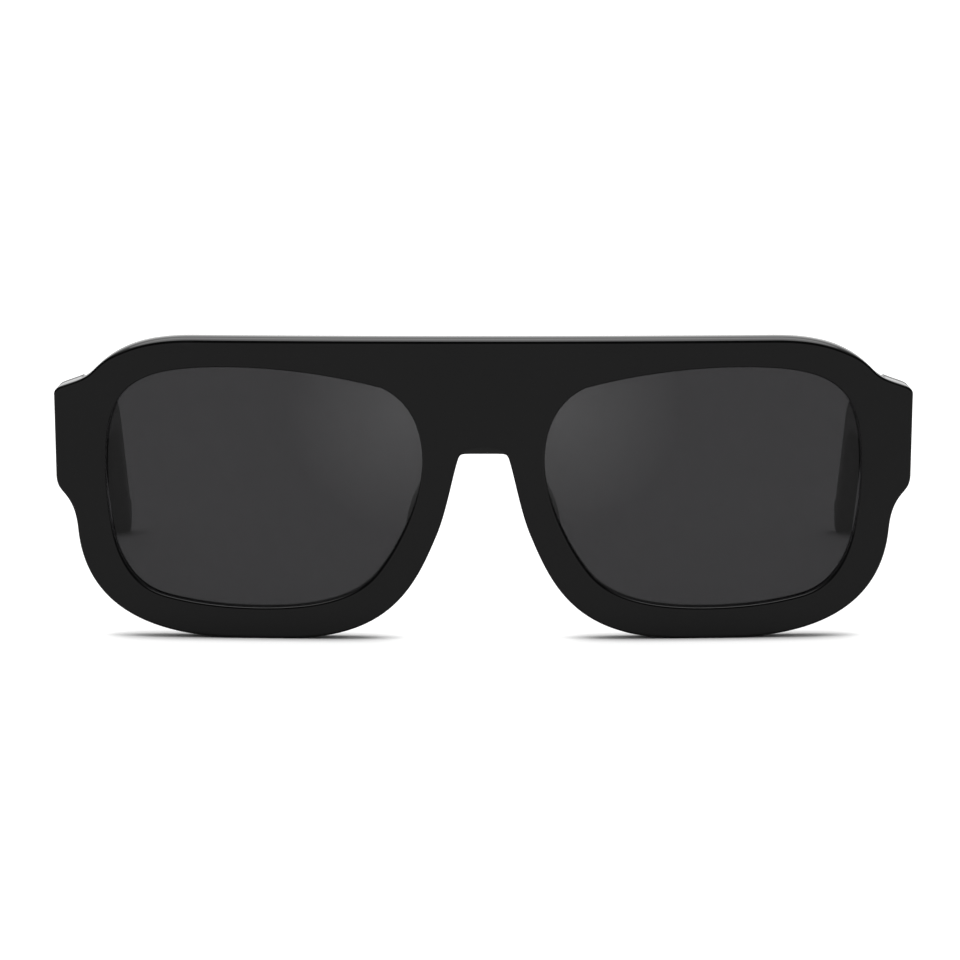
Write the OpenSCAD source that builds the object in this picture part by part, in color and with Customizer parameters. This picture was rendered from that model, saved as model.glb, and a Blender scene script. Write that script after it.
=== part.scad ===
// Square sunglasses with a sheet-cut plastic front, glued nose pads and five-knuckle hinges.
// Millimetres, +Z up. The wearer's left is +X, the lenses face -Y and the open temples run to +Y.
// The rims and the temple tips stand together on the plane z = 0.

/* [Front] */
// Width of one lens opening
lens_w = 54.6; // [51:0.1:57]
// Height of one lens opening
lens_h = 41.4; // [39:0.1:44]
// Distance between the two lens openings
bridge_w = 21; // [19:0.1:25]
// Width of the rim below the lens
rim_low = 5.4; // [4:0.1:7]
// Width of the rim beside the lens, below the endpiece
rim_side = 4.9; // [4.2:0.1:6]
// Height of the brow above the lens
brow_h = 5.3; // [4:0.1:8]
// Width from the lens opening to the outer face of the endpiece
side_w = 8.9; // [8.8:0.1:11]
// Height of the underside of the bridge above the table
arch_z = 32; // [28:0.5:34]
// Thickness of the sheet that the front is cut from
front_t = 4.8; // [4.4:0.1:5.6]
// Radius of the front's gentle wrap, seen from above
wrap_r = 500; // [400:10:1500]
// Length of the flat on which each rim stands
rest_l = 7; // [4:0.5:12]

/* [Lenses] */
// Thickness of a lens
lens_t = 2.0; // [1.6:0.1:2.2]
// Depth of the lens's face behind the rim's face
lens_set = 1.5; // [1.2:0.1:1.8]
// Depth of the groove that holds the lens's edge
groove_d = 0.6; // [0.4:0.05:0.7]
// Clearance round the lens in its groove
lens_gap = 0.05; // [0.02:0.01:0.1]

/* [Temples] */
// Thickness of a temple where it meets the endpiece
temple_t = 4.4; // [4:0.1:5]
// Thickness of a temple from its bend to its tip
tip_t = 3.5; // [3:0.1:4]
// Height of the temple's butt above the hinge's centre
butt_up = 8.2; // [7:0.1:9]
// Height of the temple's butt below the hinge's centre
butt_down = 8.4; // [7:0.1:9]
// Distance from the hinge to the ear bend
bend_u = 103.4; // [98:0.1:108]
// Height of the temple at the ear bend
neck_h = 5.4; // [4.8:0.1:6]
// Radius of the upper edge round the ear bend
bend_r = 33; // [25:1:40]
// Distance from the hinge to the centres of the tip's two round corners
tip_u = 138.7; // [133:0.1:145]
// Drop from the hinge's centre to the middle of the tip
tip_drop = 20.1; // [18:0.1:22]
// Radius of the tip's two round corners
tip_r = 2.6; // [2.2:0.05:2.8]
// Height from the centre of the tip's lower corner to that of its upper one
tip_h = 2.9; // [2.4:0.1:3.3]
// Distance by which the upper edge bends later than the lower one
bend_lean = 3.8; // [3:0.1:5]
// Height of the middle of the temple at its bend above the hinge's centre
bend_v = 0.7; // [0:0.1:1.5]
// Gap between the temple's butt and the endpiece
joint_gap = 0.05; // [0.03:0.01:0.1]

/* [Hinges] */
// Height of the hinge's centre above the table
hinge_z = 34.4; // [32:0.1:36]
// Reach of the endpiece's rear face behind the back of the front
end_out = 5.07; // [4.6:0.01:6.5]
// Height of the endpiece above the temple's butt
end_over = 0.75; // [0.5:0.05:1]
// Depth of the endpiece below the temple's butt
end_under = 0.5; // [0.3:0.05:0.8]
// Distance from the temple's inner face in to the hinge axis
axis_in = 1.7; // [1.6:0.05:2]
// Radius of a hinge knuckle
knuckle_r = 1.4; // [1.3:0.05:1.45]
// Height of one knuckle
knuckle_h = 1.6; // [1.4:0.05:1.8]
// Gap between two knuckles
knuckle_gap = 0.1; // [0.05:0.01:0.15]
// Radius of the hinge screw
screw_r = 0.7; // [0.6:0.05:0.8]
// Radial running clearance of the screw
screw_gap = 0.03; // [0.02:0.01:0.05]
// Radius of the screw's head
head_r = 1.15; // [1.05:0.05:1.2]
// Height of the screw's head
head_h = 0.5; // [0.4:0.1:0.8]
// Width of the screwdriver slot
slot_w = 0.35; // [0.3:0.05:0.4]
// Height by which the screw's head stands proud of the top knuckle
head_proud = 0.1; // [0.05:0.05:0.2]
// Length by which the screw's end stands out below the bottom knuckle
end_proud = 0.2; // [0.1:0.05:0.4]
// Length of the web that joins a temple knuckle to its plate
web_l = 3.2; // [2.8:0.1:3.6]
// Width of the web that joins a front knuckle to its foot
web_w = 2; // [1.6:0.1:2.2]
// Reach of the front hinge's foot inwards from the axis
foot_in = 1.9; // [1.7:0.05:2.1]
// Reach of the front hinge's foot outwards from the axis
foot_out = 1.3; // [1.1:0.05:1.4]
// Distance from the hinge axis forward to the front hinge's foot
foot_y = 4.6; // [4.4:0.1:4.8]
// Thickness of the front hinge's foot
foot_t = 1.6; // [1.4:0.1:1.8]
// Thickness of the plate that is sunk into the temple
plate_t = 0.9; // [0.8:0.05:1.1]
// Distance from the hinge axis to the start of the temple's plate
plate_u = 1.2; // [1.1:0.05:1.3]
// Height by which the temple's plate stands proud of the plastic
plate_proud = 0.15; // [0.1:0.05:0.2]
// Distance from the ends of the temple's plate to its anchor pegs
peg_in = 2.2; // [1.8:0.1:3]
// Length of the plate that is sunk into the temple
plate_l = 10.5; // [8:0.1:12]
// Height of the hinge plates
plate_h = 6.4; // [5.6:0.1:7]
// Radius of the anchor pegs behind the hinge plates
peg_r = 0.6; // [0.5:0.05:0.7]
// Length of the anchor pegs
peg_l = 1.0; // [0.7:0.1:1.1]
// Clearance round a hinge plate that is sunk into the plastic
sink_gap = 0.02; // [0.01:0.01:0.04]

/* [Core wires] */
// Height of the flat wire inside a temple
wire_h = 2.2; // [1.6:0.1:3]
// Thickness of the flat wire
wire_t = 1.2; // [1:0.05:1.3]
// Depth of the wire's end behind the temple's butt
wire_start = 0.4; // [0.2:0.1:2]
// Height of the wire's level run above the hinge's centre
wire_v = 0.4; // [0:0.1:1]
// Radius of the wire's bend
wire_bend_r = 25; // [20:1:30]

/* [Nose pads] */
// Height of the pad's centre above the table
pad_z = 22; // [20:0.5:23]
// Length of a pad from top to bottom
pad_l = 17; // [14:0.5:19]
// Reach of a pad behind the front
pad_out = 4.7; // [3.5:0.1:5.5]
// Width of a pad at its foot
pad_w = 5; // [4:0.1:5.5]

/* [Hidden] */

acetate = [0.09, 0.09, 0.09];
smoke = [0.20, 0.20, 0.22, 0.8];
steel = [0.72, 0.73, 0.75];
$fn = 48;
smooth = 1440;
steps = 9;
// Extra reach of a cutting body past what it cuts
over = 20;
// Depth to which one solid form reaches into the next
root = 0.1;

// Where the lens openings and the outer faces lie
lens_in = bridge_w / 2;
lens_out = lens_in + lens_w;
lens_mid = (lens_in + lens_out) / 2;
lens_top = rim_low + lens_h;
front_top = lens_top + brow_h;
half_w = lens_out + side_w;
end_top = hinge_z + butt_up + end_over;
end_low = hinge_z - butt_down - end_under;
rim_out = lens_out + rim_side;

// Where the hinge axis lies, and the tilt that brings the open tips down to the table
hinge_x = half_w - temple_t - axis_in;
joint_y = wrap_r - sqrt(wrap_r * wrap_r - hinge_x * hinge_x) + front_t + end_out;
tip_low = [tip_u, -tip_drop - tip_h / 2];
tip_high = [tip_u, -tip_drop + tip_h / 2];
tilt = asin((hinge_z - tip_r) / norm(tip_low)) + atan2(tip_low[1], tip_low[0]);
depth = joint_y + tip_high[0] * cos(tilt) + tip_high[1] * sin(tilt) + tip_r;

// Heights of the stack of five knuckles
knuckle_step = knuckle_h + knuckle_gap;
stack_low = -2.5 * knuckle_h - 2 * knuckle_gap;
stack_top = -stack_low;
front_knuckles = [0, 2, 4];
temple_knuckles = [1, 3];
peg_z = plate_h / 2 - 2 * peg_r;

// The nose pad as six round masses: across in pad widths from the lens, up in pad lengths
// from the pad's centre, back in shares of the pad's reach, and the radius in pad widths
pad_masses = [
    [-0.42, 0.42, 0.06, 0.22],
    [-0.42, 0.00, 0.10, 0.30],
    [0.18, -0.38, 0.15, 0.40],
    [-0.16, 0.24, 0.45, 0.24],
    [0.30, -0.08, 0.70, 0.28],
    [0.44, -0.33, 0.45, 0.38]
];

// One cubic curve through its first and last points, without the last
function curve(a, b, c, d, n = steps) = [
    for (i = [0:n - 1])
        let (t = i / n, s = 1 - t)
            s * s * s * a + 3 * s * s * t * b + 3 * s * t * t * c + t * t * t * d
];

// A closed outline moved outwards by d along its own normals, for points that run clockwise
function grown(points, d) = [
    for (i = [0:len(points) - 1])
        let (
            n = len(points),
            run = points[(i + 1) % n] - points[(i + n - 1) % n],
            side = [-run[1], run[0]] / norm(run)
        )
            points[i] + d * side
];

// A round corner of radius r at b, between the lines from a and to c
function corner(a, b, c, r, n = steps) =
    let (
        u = (a - b) / norm(a - b),
        v = (c - b) / norm(c - b),
        half = acos(u * v) / 2,
        mid = (u + v) / norm(u + v),
        centre = b + mid * r / sin(half),
        p = b + u * r / tan(half) - centre,
        turn = (90 - half) * 2,
        way = p[0] * v[1] - p[1] * v[0] > 0 ? 1 : -1
    )
        [
            for (i = [0:n])
                let (w = way * turn * i / n)
                    centre + [p[0] * cos(w) - p[1] * sin(w), p[0] * sin(w) + p[1] * cos(w)]
        ];

// The outline of a band of the given height, whose middle runs through the points
function band(points, height) =
    let (
        last = len(points) - 1,
        sides = [
            for (i = [0:last])
                let (run = points[min(i + 1, last)] - points[max(i - 1, 0)])
                    [-run[1], run[0]] / norm(run) * height / 2
        ]
    )
        concat(
            [for (i = [0:last]) points[i] + sides[i]],
            [for (i = [last:-1:0]) points[i] - sides[i]]
        );

// Points on a circle from its angle a0 to a1, both ends included
function arc(c, r, a0, a1, n = steps) = [
    for (i = [0:n])
        let (w = a0 + (a1 - a0) * i / n)
            c + r * [cos(w), sin(w)]
];

// Where a line from p touches a circle: side is 1 above the circle and -1 below it
function touch(p, c, r, side) =
    let (
        arm = c - p,
        d = norm(arm),
        w = atan2(arm[1], arm[0]) + side * asin(r / d)
    )
        p + sqrt(d * d - r * r) * [cos(w), sin(w)];

// The lens opening as shares of its own width and height, clockwise from its inner side
function in_lens(x, z) = [lens_in + x * lens_w, rim_low + z * lens_h];
opening = concat(
    curve(in_lens(0, 0.61), in_lens(0, 0.755), in_lens(0.042, 0.862), in_lens(0.126, 0.916)),
    curve(in_lens(0.126, 0.916), in_lens(0.283, 0.97), in_lens(0.449, 1), in_lens(0.616, 1)),
    curve(in_lens(0.616, 1), in_lens(0.911, 1), in_lens(1, 0.921), in_lens(1, 0.6)),
    curve(in_lens(1, 0.6), in_lens(1, 0.285), in_lens(0.945, 0.091), in_lens(0.81, 0.046)),
    curve(in_lens(0.81, 0.046), in_lens(0.717, 0.014), in_lens(0.616, 0), in_lens(0.505, 0)),
    curve(in_lens(0.505, 0), in_lens(0.338, 0), in_lens(0.214, 0.036), in_lens(0.146, 0.141)),
    curve(in_lens(0.146, 0.141), in_lens(0.072, 0.257), in_lens(0, 0.465), in_lens(0, 0.61))
);

// The left half of the front's outline, from the top of the bridge round to its underside
half_outline = concat(
    [[0, front_top]],
    curve(
        [lens_out - 15.1, front_top], [lens_out - 6.1, front_top],
        [lens_out - 1.6, end_top + 6.45], [lens_out + 2.1, end_top + 2.65]
    ),
    curve(
        [lens_out + 2.1, end_top + 2.65], [lens_out + 3.5, end_top + 1.2],
        [half_w - 3.6, end_top + 0.8], [half_w - 1.4, end_top]
    ),
    curve(
        [half_w - 1.4, end_top], [half_w - 0.5, end_top - 0.3],
        [half_w, end_top - 0.8], [half_w, end_top - 1.4], 4
    ),
    [[half_w, end_top - 1.4]],
    curve(
        [half_w - 0.3, end_low + 2.2], [half_w - 0.4, end_low + 0.8],
        [half_w - 0.8, end_low + 0.2], [half_w - 1.6, end_low - 0.7], 5
    ),
    curve(
        [half_w - 1.6, end_low - 0.7], [half_w - 3.1, end_low - 2.4],
        [rim_out + 0.3, end_low - 4.1], [rim_out, end_low - 6.8], 6
    ),
    curve(
        [rim_out, end_low - 6.8], [rim_out - 1, 0.3 * end_low],
        [lens_out - 3.9, 0], [lens_mid + rest_l / 2, 0], 14
    ),
    [[lens_mid + rest_l / 2, 0]],
    curve(
        [lens_mid - rest_l / 2, 0], [lens_in + 6.5, 0],
        [lens_in + 1.7, 0.25 * arch_z], [lens_in - 2.15, 0.54 * arch_z], 14
    ),
    curve(
        [lens_in - 2.15, 0.54 * arch_z], [lens_in - 4.05, 0.67 * arch_z],
        [lens_in - 4.95, 0.85 * arch_z], [lens_in - 6.1, arch_z - 1]
    ),
    curve(
        [lens_in - 6.1, arch_z - 1], [lens_in - 6.4, arch_z - 0.1],
        [lens_in - 6.6, arch_z], [lens_in - 7.6, arch_z], 4
    ),
    [[lens_in - 7.6, arch_z]]
);
half_last = len(half_outline) - 1;
front_outline = concat(
    half_outline,
    [for (i = [half_last:-1:1]) [-half_outline[i][0], half_outline[i][1]]]
);

// The temple's side outline: u runs along it from the hinge and v runs up
tip_at = [tip_u, -tip_drop];
bend_top = [bend_u + bend_lean / 2, bend_v + neck_h / 2];
bend_bottom = [bend_u - bend_lean / 2, bend_v - neck_h / 2];
touch_top = touch(bend_top, tip_high, tip_r, 1);
touch_bottom = touch(bend_bottom, tip_low, tip_r, -1);
tip_a0 = atan2(touch_top[1] - tip_high[1], touch_top[0] - tip_high[0]);
tip_a1 = atan2(touch_bottom[1] - tip_low[1], touch_bottom[0] - tip_low[0]);
temple_outline = concat(
    [[joint_gap, butt_up]],
    corner([joint_gap, butt_up], bend_top, touch_top, bend_r),
    arc(tip_high, tip_r, tip_a0, 0),
    arc(tip_low, tip_r, 0, tip_a1),
    corner(touch_bottom, bend_bottom, [joint_gap, -butt_down], bend_r * 0.6),
    [[joint_gap, -butt_down]]
);

// The wire runs level, bends, and ends just short of the centre of the tip
wire_w = axis_in + temple_t - tip_t / 2;
wire_knee = [bend_u, wire_v];
wire_end = tip_at + (wire_knee - tip_at) / norm(wire_knee - tip_at) * tip_r / 2;

echo(tilt = tilt, depth = depth, half_w = half_w, front_top = front_top, lens_mid = lens_mid);
echo(hinge = [hinge_x, joint_y - depth / 2, hinge_z], axis = [0, sin(tilt), cos(tilt)]);

// The row's own frame: the middle of the footprint at table height
module placed(side) {
    translate([0, -depth / 2, 0])
        if (side > 0) children();
        else mirror([1, 0, 0]) children();
}

// The hinge's own frame: x outwards, y along the open temple, z up the screw
module at_hinge() {
    translate([hinge_x, joint_y, hinge_z]) rotate([-tilt, 0, 0]) children();
}

// A sheet outline stood up facing -Y, from y0 back to y1
module stood(y0, y1) {
    translate([0, y1, 0]) rotate([90, 0, 0]) linear_extrude(height = y1 - y0) children();
}

// Everything that lies deeper than d behind the wrapped face of the front
module behind_face(d) {
    translate([0, wrap_r, -over])
        cylinder(r = wrap_r - d, h = front_top + 2 * over, $fn = smooth);
}

// A wrapped layer of the front, from d0 to d1 behind its face
module layer(d0, d1) {
    difference() {
        behind_face(d0);
        behind_face(d1);
    }
}

// The block behind each end of the front, cut square to the open temple
module endpiece_block() {
    intersection() {
        stood(0, joint_y + over) polygon(front_outline);
        behind_face(front_t / 2);
        at_hinge()
            translate([axis_in - plate_proud, -joint_y, -butt_down - end_under])
                cube([temple_t + over, joint_y, butt_down + end_top]);
    }
}

// The space that the front half of a hinge fills in the plastic, larger by gap
module front_sink(gap) {
    translate([-foot_in - gap, -foot_y - foot_t - gap, -plate_h / 2 - gap])
        cube([foot_in + foot_out + 2 * gap, foot_t + 2 * gap, plate_h + 2 * gap]);
    for (z = [-peg_z, peg_z])
        translate([0, root - foot_y - foot_t, z])
            rotate([90, 0, 0]) cylinder(r = peg_r + gap, h = root + peg_l + gap);
}

// The space that the temple half of a hinge fills in the plastic, larger by gap
module temple_sink(gap) {
    translate([axis_in - plate_proud - gap, plate_u - gap, -plate_h / 2 - gap])
        cube([plate_t + gap, plate_l + 2 * gap, plate_h + 2 * gap]);
    for (y = [plate_u + peg_in, plate_u + plate_l - peg_in])
        translate([axis_in - plate_proud + plate_t - root, y, 0])
            rotate([0, 90, 0]) cylinder(r = peg_r + gap, h = root + peg_l + gap);
}

module front_frame() {
    color(acetate)
        difference() {
            union() {
                intersection() {
                    stood(-over, joint_y + over) polygon(front_outline);
                    layer(0, front_t);
                }
                endpiece_block();
                mirror([1, 0, 0]) endpiece_block();
            }
            for (side = [0, 1])
                mirror([side, 0, 0]) {
                    stood(-over, joint_y + over) polygon(opening);
                    intersection() {
                        stood(-over, joint_y + over)
                            polygon(grown(opening, groove_d + lens_gap));
                        layer(lens_set - lens_gap, lens_set + lens_t + lens_gap);
                    }
                    at_hinge() {
                        front_sink(sink_gap);
                        translate([-foot_in - sink_gap, -foot_y - root, -plate_h / 2])
                            cube([foot_in + foot_out + 2 * sink_gap, foot_y, plate_h]);
                    }
                }
        }
}

module lens() {
    color(smoke)
        intersection() {
            stood(-over, joint_y + over) polygon(grown(opening, groove_d));
            layer(lens_set, lens_set + lens_t);
        }
}

// A glued pad, cut off flush with the back of the front
module nose_pad() {
    color(acetate)
        intersection() {
            hull()
                for (m = pad_masses)
                    translate([
                        lens_in + m[0] * pad_w,
                        front_t + m[2] * pad_out,
                        pad_z + m[1] * pad_l
                    ])
                        sphere(r = m[3] * pad_w, $fn = 24);
            behind_face(front_t);
        }
}

module knuckles(places) {
    for (i = places)
        translate([0, 0, stack_low + i * knuckle_step]) children();
}

module front_hinge() {
    color(steel)
        difference() {
            union() {
                front_sink(0);
                knuckles(front_knuckles) {
                    cylinder(r = knuckle_r, h = knuckle_h);
                    translate([-web_w / 2, -foot_y - root, 0])
                        cube([web_w, foot_y + root, knuckle_h]);
                }
            }
            translate([0, 0, stack_low + knuckle_h])
                cylinder(r = screw_r + screw_gap, h = -2 * stack_low);
            translate([0, 0, stack_low - over])
                cylinder(r = screw_r, h = knuckle_h + over + root);
            translate([0, 0, stack_top - head_h + head_proud])
                cylinder(r = head_r + screw_gap, h = head_h);
        }
}

module temple_hinge() {
    color(steel)
        difference() {
            union() {
                temple_sink(0);
                knuckles(temple_knuckles) {
                    cylinder(r = knuckle_r, h = knuckle_h);
                    cube([axis_in, web_l, knuckle_h]);
                }
            }
            translate([0, 0, stack_low])
                cylinder(r = screw_r + screw_gap, h = -2 * stack_low);
        }
}

module hinge_screw() {
    color(steel)
        difference() {
            union() {
                translate([0, 0, stack_low - end_proud])
                    cylinder(r = screw_r, h = stack_top - stack_low + end_proud);
                translate([0, 0, stack_top - head_h + head_proud])
                    cylinder(r = head_r, h = head_h);
            }
            translate([-over, -slot_w / 2, stack_top - head_h / 2 + head_proud])
                cube([2 * over, slot_w, over]);
        }
}

// The wire inside a temple from u0 on, larger by gap
module wire(u0, gap) {
    start = [u0, wire_v];
    tail = wire_end + (wire_end - wire_knee) / norm(wire_end - wire_knee) * gap;
    path = concat([start], corner(start, wire_knee, tail, wire_bend_r), [tail]);
    translate([wire_w - wire_t / 2 - gap, 0, 0])
        rotate([90, 0, 90])
            linear_extrude(height = wire_t + 2 * gap) polygon(band(path, wire_h + 2 * gap));
}

module core_wire() {
    color(steel) wire(joint_gap + wire_start, 0);
}

module temple() {
    inner = axis_in;
    outer = axis_in + temple_t;
    color(acetate)
        difference() {
            intersection() {
                rotate([90, 0, 90])
                    linear_extrude(height = outer + over) polygon(temple_outline);
                translate([0, 0, -tip_drop - over])
                    linear_extrude(height = tip_drop + butt_up + 2 * over)
                        polygon([
                            [inner, 0], [outer, 0], [outer, tip_u + over],
                            [outer - tip_t, tip_u + over], [outer - tip_t, bend_u]
                        ]);
            }
            temple_sink(sink_gap);
            translate([0, plate_u - sink_gap, -plate_h / 2 - sink_gap])
                cube([axis_in + root, plate_l + 2 * sink_gap, plate_h + 2 * sink_gap]);
            wire(-over, sink_gap);
        }
}

placed(1) front_frame();
placed(1) lens();  // left_lens
placed(-1) lens();  // right_lens
placed(1) nose_pad();  // left_nose_pad
placed(-1) nose_pad();  // right_nose_pad
placed(1) at_hinge() front_hinge();  // left_front_hinge
placed(-1) at_hinge() front_hinge();  // right_front_hinge
placed(1) at_hinge() hinge_screw();  // left_hinge_screw
placed(-1) at_hinge() hinge_screw();  // right_hinge_screw
placed(1) at_hinge() temple_hinge();  // left_temple_hinge
placed(-1) at_hinge() temple_hinge();  // right_temple_hinge
placed(1) at_hinge() temple();  // left_temple
placed(-1) at_hinge() temple();  // right_temple
placed(1) at_hinge() core_wire();  // left_core_wire
placed(-1) at_hinge() core_wire();  // right_core_wire
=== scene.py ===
"""Square sunglasses with a thick black sheet-cut front, smoke lenses and folding temples.

Laid out as an add-on: sizes and colours are in property groups, each piece has its own operator.
Shapes are worked out in millimetres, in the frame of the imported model, and stored in metres.
A point of a flat outline is a complex number: the real part runs across, the imaginary part up.
"""

import math
from bisect import bisect
from cmath import phase, rect
from types import SimpleNamespace

import bmesh
import bpy
from bpy.props import FloatProperty, FloatVectorProperty, IntProperty, PointerProperty
from bpy.types import Operator, Panel, PropertyGroup
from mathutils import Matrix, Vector


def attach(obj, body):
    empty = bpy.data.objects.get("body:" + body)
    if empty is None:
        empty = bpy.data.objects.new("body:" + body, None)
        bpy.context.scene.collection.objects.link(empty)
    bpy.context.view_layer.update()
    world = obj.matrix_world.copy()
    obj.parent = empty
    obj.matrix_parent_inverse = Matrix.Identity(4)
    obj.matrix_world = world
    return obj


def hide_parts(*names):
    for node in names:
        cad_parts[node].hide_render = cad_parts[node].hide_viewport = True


bl_info = {
    "name": "Square Sunglasses",
    "version": (1, 0, 0),
    "blender": (4, 5, 0),
    "location": "3D View > Sidebar > Sunglasses",
    "description": "Builds square black sunglasses round a packed frame",
    "category": "Add Mesh",
}

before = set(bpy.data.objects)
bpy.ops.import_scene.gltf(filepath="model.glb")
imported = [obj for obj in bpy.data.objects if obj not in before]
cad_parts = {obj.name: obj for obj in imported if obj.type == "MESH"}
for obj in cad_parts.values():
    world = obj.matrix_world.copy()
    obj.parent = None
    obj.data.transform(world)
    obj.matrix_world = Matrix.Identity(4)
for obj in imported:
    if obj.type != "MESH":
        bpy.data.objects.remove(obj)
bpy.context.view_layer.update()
MM = 0.001
SIDES = {"left": 1, "right": -1}


def number(name, description, default, **limits):
    return FloatProperty(name=name, description=description, default=default, **limits)


def length(name, description, default):
    """A size in metres, given here in millimetres."""
    return number(name, description, default * MM, unit="LENGTH", precision=5)


def angle(name, description, default):
    """An angle in radians, given here in degrees."""
    return number(name, description, math.radians(default), subtype="ANGLE")


def share(name, description, default):
    return number(name, description, default, min=0, max=1, subtype="FACTOR")


def tint(name, description, default):
    return FloatVectorProperty(
        name=name, description=description, default=default, size=3, min=0, max=1, subtype="COLOR"
    )


class FrontSizes(PropertyGroup):
    lens_w: length("Lens Width", "Width of a lens opening", 54.6)
    lens_h: length("Lens Height", "Height of a lens opening", 41.4)
    bridge_w: length("Bridge", "Distance between the openings", 21)
    rim_low: length("Lower Rim", "Width of the rim below a lens", 5.4)
    rim_side: length("Side Rim", "Width of the rim beside a lens", 4.9)
    brow_h: length("Brow", "Height of the brow above a lens", 5.3)
    side_w: length("Endpiece", "Width from the opening to the outer face", 8.9)
    arch_z: length("Arch", "Height of the bridge's underside", 32)
    front_t: length("Thickness", "Thickness of the sheet", 4.8)
    wrap_r: length("Wrap", "Radius of the front's wrap", 500)
    rest_l: length("Rest", "Length of the flat under each rim", 7)
    end_out: length("Endpiece Reach", "Reach of the endpiece behind the sheet", 5.07)
    end_over: length("Endpiece Rise", "Height of the endpiece above the butt", 0.75)
    end_under: length("Endpiece Drop", "Depth of the endpiece below the butt", 0.5)
    edge_r: length("Front Edge", "Radius of the outer edge at the front", 0.4)
    brow_in: length("Brow Edge", "Height of the rounding along the brow", 1.05)
    brow_deep: length("Brow Depth", "Depth of the rounding along the brow", 2.4)
    back_r: length("Back Edge", "Radius of the outer edge at the back", 0.7)
    rim_r: length("Rim Edge", "Radius of the edge round a lens", 0.45)
    saddle: length("Saddle", "Extra radius at the back of the bridge", 0.9)
    facet_h: length("Facet Height", "Height of the facet under the bridge", 1.2)
    facet_d: length("Facet Depth", "Depth of the facet under the bridge", 1.1)


class LensSizes(PropertyGroup):
    lens_t: length("Thickness", "Thickness of a lens", 2.0)
    lens_set: length("Set Back", "Depth of the lens behind the rim's face", 1.5)
    groove_d: length("Groove", "Depth of the groove round the opening", 0.6)
    lens_gap: length("Clearance", "Clearance round the lens", 0.05)
    bevel: length("Bevel", "Bevel of the lens's edge", 0.3)


class PadSizes(PropertyGroup):
    pad_z: length("Height", "Height of the pad's centre", 22)
    pad_l: length("Length", "Length of a pad from top to bottom", 17)
    pad_out: length("Reach", "Reach of a pad behind the front", 4.7)
    pad_w: length("Width", "Width of a pad", 5.4)


class TempleSizes(PropertyGroup):
    temple_t: length("Thickness", "Thickness at the endpiece", 4.4)
    tip_t: length("Tip Thickness", "Thickness from the bend to the tip", 3.5)
    butt_up: length("Butt Above", "Height of the butt above the hinge", 8.2)
    butt_down: length("Butt Below", "Height of the butt below the hinge", 8.4)
    bend_u: length("Bend", "Distance from the hinge to the bend", 103.4)
    neck_h: length("Neck", "Height of the temple at the bend", 5.4)
    bend_r: length("Bend Radius", "Radius of the upper edge's bend", 33)
    bend_lean: length("Bend Lean", "How much later the upper edge bends", 3.8)
    bend_v: length("Bend Rise", "Middle of the bend above the hinge", 0.7)
    tip_u: length("Tip", "Distance from the hinge to the tip", 138.7)
    tip_drop: length("Tip Drop", "Drop from the hinge to the tip", 20.1)
    tip_r: length("Tip Radius", "Radius of the tip's two corners", 2.6)
    tip_h: length("Tip Height", "Height between the corners' centres", 2.9)
    joint_gap: length("Joint Gap", "Gap between butt and endpiece", 0.05)
    side_r: length("Edge", "Radius of the long edges", 0.9)
    tip_soft: length("Tip Slope", "Width of the slope on top of the tip", 4.4)
    tip_deep: length("Tip Depth", "Depth of the slope on top of the tip", 1.5)
    butt_r: length("Butt Edge", "Radius of the butt's edge", 0.12)


class HingeSizes(PropertyGroup):
    hinge_z: length("Height", "Height of the hinge above the table", 34.4)
    axis_in: length("Axis Inset", "From the temple's inner face to the axis", 1.7)
    knuckle_r: length("Knuckle Radius", "Radius of a knuckle", 1.4)
    knuckle_h: length("Knuckle Height", "Height of one knuckle", 1.6)
    knuckle_gap: length("Knuckle Gap", "Gap between two knuckles", 0.1)
    screw_r: length("Screw Radius", "Radius of the screw", 0.7)
    screw_gap: length("Screw Clearance", "Clearance round the screw", 0.03)
    head_r: length("Head Radius", "Radius of the screw's head", 1.15)
    head_h: length("Head Height", "Height of the screw's head", 0.5)
    head_proud: length("Head Proud", "Head above the top knuckle", 0.1)
    end_proud: length("End Proud", "Screw below the bottom knuckle", 0.2)
    slot_w: length("Slot", "Width of the screwdriver slot", 0.35)
    web_l: length("Temple Web", "Length of a temple knuckle's web", 3.2)
    web_w: length("Front Web", "Width of a front knuckle's web", 2.0)
    foot_in: length("Foot Inwards", "Reach of the foot inwards", 1.9)
    foot_out: length("Foot Outwards", "Reach of the foot outwards", 1.3)
    foot_y: length("Foot Distance", "From the axis forward to the foot", 4.6)
    foot_t: length("Foot Thickness", "Thickness of the foot", 1.6)
    plate_t: length("Plate Thickness", "Thickness of the plate", 0.9)
    plate_u: length("Plate Start", "From the axis to the plate", 1.2)
    plate_l: length("Plate Length", "Length of the plate", 10.5)
    plate_h: length("Plate Height", "Height of the plate and the foot", 6.4)
    plate_proud: length("Plate Proud", "Plate above the plastic", 0.15)
    peg_r: length("Peg Radius", "Radius of the anchor pegs", 0.6)
    peg_l: length("Peg Length", "Length of the anchor pegs", 1.0)
    peg_in: length("Peg Inset", "From the plate's ends to its pegs", 2.2)
    edge: length("Edge", "Radius of the metal's edges", 0.12)
    knuckle_pieces: IntProperty(
        name="Knuckles", description="Knuckles of the whole hinge", default=5, min=3, max=7
    )


class WireSizes(PropertyGroup):
    wire_h: length("Height", "Height of the flat wire", 2.2)
    wire_t: length("Thickness", "Thickness of the flat wire", 1.2)
    wire_start: length("Start", "Depth of the wire's end behind the butt", 0.4)
    wire_v: length("Rise", "Height of its level run above the hinge", 0.4)
    wire_bend_r: length("Bend Radius", "Radius of the wire's bend", 25)
    wire_edge: length("Edge", "Radius of the wire's edges", 0.25)


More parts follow.
